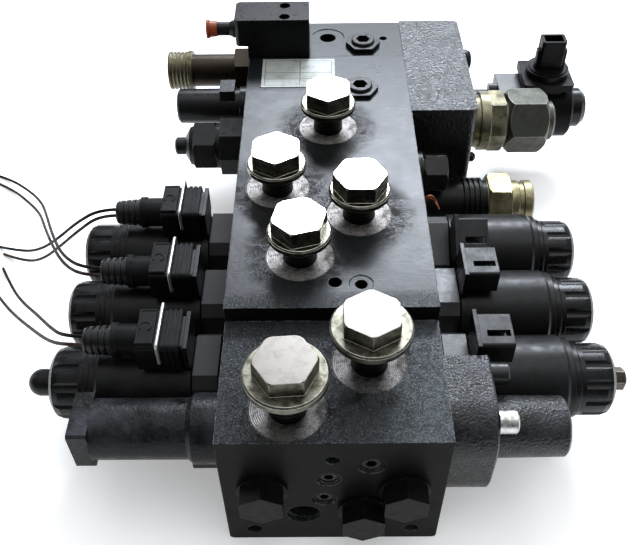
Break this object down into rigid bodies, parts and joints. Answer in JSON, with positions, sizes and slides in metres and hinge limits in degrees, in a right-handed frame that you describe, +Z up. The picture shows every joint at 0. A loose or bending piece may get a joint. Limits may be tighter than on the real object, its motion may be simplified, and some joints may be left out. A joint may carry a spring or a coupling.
{
  "type": "proportional hydraulic valve block",
  "caption": "Machined hydraulic valve block with spool sections, solenoid coils on both sides, plugged ports on top, relief and inlet cartridges and loose pigtail wires.",
  "frame": {"origin": "centre of the main body's underside", "axes": "+X to the right and +Y to the rear seen from the end face with the three hexagon plugs, +Z up"},
  "size_m": [0.4263, 0.341, 0.121],
  "materials": {
    "black_body": "satin black paint, dusty",
    "black_casting": "rough black painted casting",
    "black_steel": "black oxide",
    "bright_steel": "bright",
    "plated_steel": "dull plated",
    "olive_steel": "yellow passivated zinc",
    "spring_steel": "wire",
    "coil_plastic": "satin",
    "nut_plastic": "satin gloss",
    "plug_plastic": "satin",
    "black_rubber": "matte",
    "red_plastic": "gloss",
    "label_foil": "satin",
    "wire_black": "satin",
    "wire_brown": "satin"
  },
  "bodies": {
    "housing": {"balancer_housing": "black_casting", "balancer_spring": "spring_steel", "bleed_nipple": "black_steel", "cable_plug_1": "plug_plastic", "cable_plug_2": "plug_plastic", "cable_plug_3": "plug_plastic", "cap_screws": "black_steel", "cartridge_coil": "coil_plastic", "cartridge_nut": "nut_plastic", "cartridge_valve": "plated_steel", "centring_springs_1": "spring_steel", "centring_springs_2": "spring_steel", "centring_springs_3": "spring_steel", "coil_left_1": "coil_plastic", "coil_left_2": "coil_plastic", "coil_left_3": "coil_plastic", "coil_nuts": "nut_plastic", "coil_right_1": "coil_plastic", "coil_right_2": "coil_plastic", "coil_right_3": "coil_plastic", "cover_bolts": "bright_steel", "dust_plug": "red_plastic", "front_cover": "black_casting", "front_plugs": "black_steel", "inlet_housing": "black_casting", "label_plate": "label_foil", "manifold_block": "black_steel", "outlet_adapter": "olive_steel", "plug_boots": "black_rubber", "port_plugs": "bright_steel", "pressure_fitting": "olive_steel", "relief_adjuster": "plated_steel", "relief_valve": "black_steel", "side_cartridge": "black_steel", "side_fitting": "olive_steel", "side_plug": "black_steel", "socket_plugs": "black_steel", "solenoid_tubes": "plated_steel", "union_nut": "olive_steel", "valve_body": "black_body", "wire_1a": "wire_black", "wire_1b": "wire_brown", "wire_2a": "wire_black", "wire_2b": "wire_brown", "wire_3a": "wire_black", "wire_3b": "wire_brown"},
    "spool_1": {"spool_1": "bright_steel", "armatures_1": "bright_steel"},
    "wire_bail_1": {"wire_bail_1": "spring_steel"},
    "spool_2": {"spool_2": "bright_steel", "armatures_2": "bright_steel"},
    "wire_bail_2": {"wire_bail_2": "spring_steel"},
    "spool_3": {"spool_3": "bright_steel", "armatures_3": "bright_steel"},
    "wire_bail_3": {"wire_bail_3": "spring_steel"},
    "override_pin": {"override_pin": "bright_steel"},
    "override_dome": {"override_dome": "black_rubber"},
    "relief_poppet": {"relief_poppet": "bright_steel"},
    "balancer_piston": {"balancer_piston": "bright_steel"},
    "cartridge_armature": {"cartridge_armature": "bright_steel"}
  },
  "joints": [
    {"name": "spool_1_shift", "type": "slide", "parent": "housing", "child": "spool_1", "axis": [1, 0, 0], "range_m": [-0.004, 0.004], "stiffness_N_per_m": 6000, "deforming": ["centring_springs_1"]},
    {"name": "wire_bail_1_press", "type": "slide", "parent": "housing", "child": "wire_bail_1", "axis": [0, 0, -1], "range_m": [0, 0.0015], "stiffness_N_per_m": 2000},
    {"name": "spool_2_shift", "type": "slide", "parent": "housing", "child": "spool_2", "axis": [1, 0, 0], "range_m": [-0.004, 0.004], "stiffness_N_per_m": 6000, "deforming": ["centring_springs_2"]},
    {"name": "wire_bail_2_press", "type": "slide", "parent": "housing", "child": "wire_bail_2", "axis": [0, 0, -1], "range_m": [0, 0.0015], "stiffness_N_per_m": 2000},
    {"name": "spool_3_shift", "type": "slide", "parent": "housing", "child": "spool_3", "axis": [1, 0, 0], "range_m": [-0.004, 0.004], "stiffness_N_per_m": 6000, "deforming": ["centring_springs_3"]},
    {"name": "wire_bail_3_press", "type": "slide", "parent": "housing", "child": "wire_bail_3", "axis": [0, 0, -1], "range_m": [0, 0.0015], "stiffness_N_per_m": 2000},
    {"name": "override_pin_press", "type": "slide", "parent": "housing", "child": "override_pin", "axis": [-1, 0, 0], "range_m": [0, 0.004], "stiffness_N_per_m": 800},
    {"name": "override_dome_press", "type": "slide", "parent": "housing", "child": "override_dome", "axis": [1, 0, 0], "range_m": [0, 0.0025], "stiffness_N_per_m": 800},
    {"name": "relief_poppet_lift", "type": "slide", "parent": "housing", "child": "relief_poppet", "axis": [-1, 0, 0], "range_m": [0, 0.003], "stiffness_N_per_m": 4000},
    {"name": "balancer_piston_shift", "type": "slide", "parent": "housing", "child": "balancer_piston", "axis": [-1, 0, 0], "range_m": [0, 0.005], "stiffness_N_per_m": 3000, "deforming": ["balancer_spring"]},
    {"name": "cartridge_armature_shift", "type": "slide", "parent": "housing", "child": "cartridge_armature", "axis": [1, 0, 0], "range_m": [0, 0.003], "stiffness_N_per_m": 1500}
  ]
}
